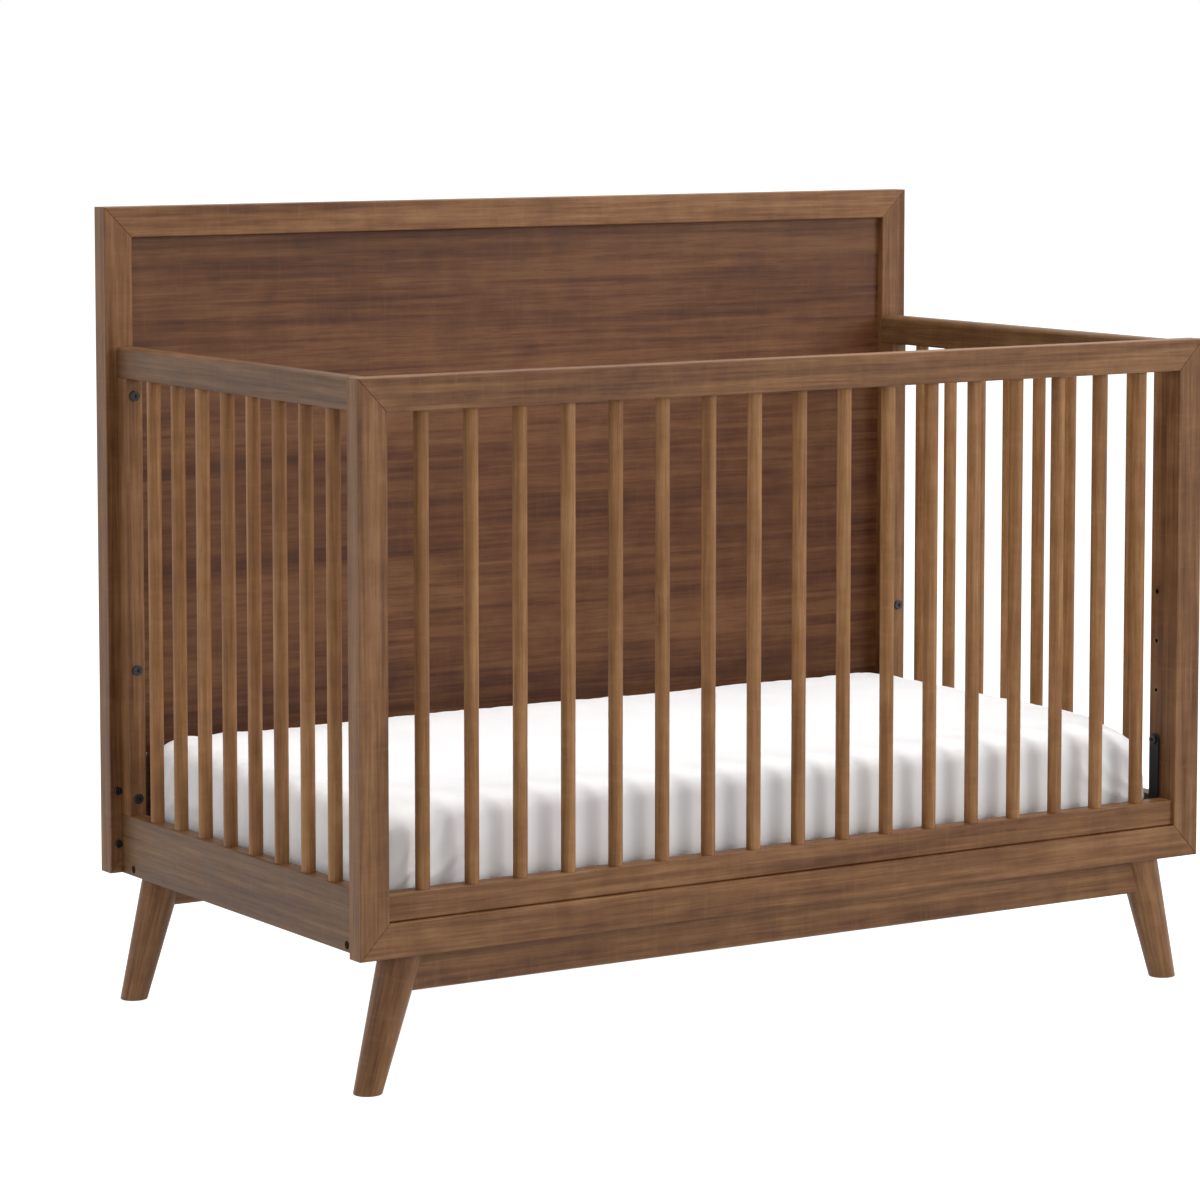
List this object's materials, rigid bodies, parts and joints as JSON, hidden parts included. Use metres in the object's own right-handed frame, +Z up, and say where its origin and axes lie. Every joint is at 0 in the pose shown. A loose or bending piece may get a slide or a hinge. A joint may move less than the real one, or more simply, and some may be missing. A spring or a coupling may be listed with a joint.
{
  "type": "baby crib",
  "caption": "Wooden crib with a framed headboard, round-spindle front and ends, splayed legs, an adjustable steel mattress support and a sheeted mattress.",
  "frame": {"origin": "on the floor, in the middle of the crib's outline", "axes": "+X along the length to the right as seen from the front, +Y from the spindle front to the headboard, +Z up"},
  "size_m": [1.43, 0.768, 1.156],
  "materials": {
    "walnut_wood": "stained brown timber under a satin lacquer, grain along each member",
    "honey_wood": "lighter honey-brown turned dowel under a satin lacquer",
    "panel_wood": "stained veneered board with horizontal grain, satin",
    "raw_wood": "unfinished timber, hidden",
    "black_steel": "black coated steel, satin",
    "grey_steel": "dark grey powder-coated steel",
    "zinc_steel": "zinc-plated steel",
    "mattress_cover": "woven mattress ticking over foam",
    "sheet_cotton": "white cotton fitted sheet"
  },
  "bodies": {
    "frame": {"corner_blocks": "raw_wood", "end_bottom_rail_left": "walnut_wood", "end_bottom_rail_right": "walnut_wood", "end_front_stile_left": "walnut_wood", "end_front_stile_right": "walnut_wood", "end_rear_stile_left": "walnut_wood", "end_rear_stile_right": "walnut_wood", "end_spindles_left": "honey_wood", "end_spindles_right": "honey_wood", "end_top_rail_left": "walnut_wood", "end_top_rail_right": "walnut_wood", "front_bottom_rail": "walnut_wood", "front_leg_left": "walnut_wood", "front_leg_right": "walnut_wood", "front_post_left": "walnut_wood", "front_post_right": "walnut_wood", "front_spindle_01": "honey_wood", "front_spindle_02": "honey_wood", "front_spindle_03": "honey_wood", "front_spindle_04": "honey_wood", "front_spindle_05": "honey_wood", "front_spindle_06": "honey_wood", "front_spindle_07": "honey_wood", "front_spindle_08": "honey_wood", "front_spindle_09": "honey_wood", "front_spindle_10": "honey_wood", "front_spindle_11": "honey_wood", "front_spindle_12": "honey_wood", "front_spindle_13": "honey_wood", "front_spindle_14": "honey_wood", "front_spindle_15": "honey_wood", "front_spindle_16": "honey_wood", "front_spindle_17": "honey_wood", "front_spindle_rail": "walnut_wood", "front_stretcher": "walnut_wood", "front_top_rail": "walnut_wood", "headboard_bottom_rail": "walnut_wood", "headboard_panel": "panel_wood", "headboard_post_left": "walnut_wood", "headboard_post_right": "walnut_wood", "headboard_top_rail": "walnut_wood", "leg_bolts": "zinc_steel", "panel_bolts": "black_steel", "rear_leg_left": "walnut_wood", "rear_leg_right": "walnut_wood", "rear_stretcher": "walnut_wood", "side_bolts": "black_steel", "threaded_inserts": "zinc_steel"},
    "mattress_support": {"support_bolts": "black_steel", "support_end_angle_left": "grey_steel", "support_end_angle_right": "grey_steel", "support_side_angle_front": "grey_steel", "support_side_angle_rear": "grey_steel", "support_strap_front_left": "black_steel", "support_strap_front_right": "black_steel", "support_strap_rear_left": "black_steel", "support_strap_rear_right": "black_steel", "support_wires": "grey_steel"},
    "bedding": {"mattress": "mattress_cover", "fitted_sheet": "sheet_cotton"}
  },
  "joints": [
    {"name": "mattress_support_height", "type": "slide", "parent": "frame", "child": "mattress_support", "axis": [0, 0, 1], "range_m": [0, 0.222]},
    {"name": "mattress_lift_out", "type": "slide", "parent": "mattress_support", "child": "bedding", "axis": [0, 0, 1], "range_m": [0, 0.92]}
  ]
}
